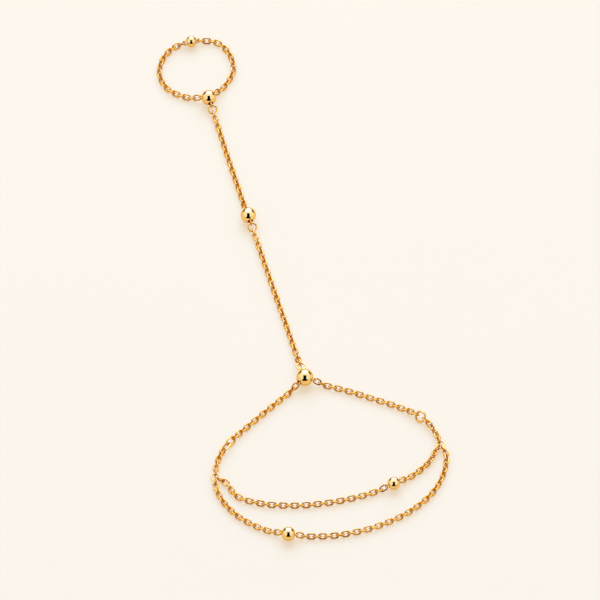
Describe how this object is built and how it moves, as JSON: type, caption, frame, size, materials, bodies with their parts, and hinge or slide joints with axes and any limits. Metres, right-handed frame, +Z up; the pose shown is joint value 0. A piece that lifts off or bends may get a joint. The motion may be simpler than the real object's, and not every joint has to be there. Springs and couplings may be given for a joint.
{
  "type": "hand chain bracelet",
  "caption": "Hand chain bracelet of fine oval links: a finger loop and a wrist loop with a double strand, joined by a chain, with round metal beads at the joints.",
  "frame": {"origin": "on the table surface under the middle of the bracelet as it lies", "axes": "+Y from the wrist loop towards the finger loop, +X to the right in the view from the wrist end, +Z up from the table"},
  "size_m": [0.077, 0.1681, 0.0045],
  "materials": {
    "bead_metal": "polished",
    "ring_metal": "polished",
    "chain_metal": "polished"
  },
  "bodies": {
    "root": {"ring_bead": "bead_metal", "finger_bead": "bead_metal", "hand_bead": "bead_metal", "wrist_bead": "bead_metal", "inner_bead": "bead_metal", "outer_bead": "bead_metal", "finger_ring": "ring_metal", "hand_ring": "ring_metal", "wrist_ring": "ring_metal", "large_ring": "ring_metal", "connector_one": "ring_metal", "connector_two": "ring_metal", "left_fork_ring": "ring_metal", "right_fork_ring": "ring_metal", "finger_chain_left": "chain_metal", "finger_chain_right": "chain_metal", "hand_chain_upper": "chain_metal", "hand_chain_lower": "chain_metal", "arm_chain_left": "chain_metal", "arm_chain_right": "chain_metal", "short_chain_left": "chain_metal", "short_chain_right": "chain_metal", "inner_strand_left": "chain_metal", "inner_strand_right": "chain_metal", "outer_strand_left": "chain_metal", "outer_strand_right": "chain_metal"}
  },
  "joints": []
}
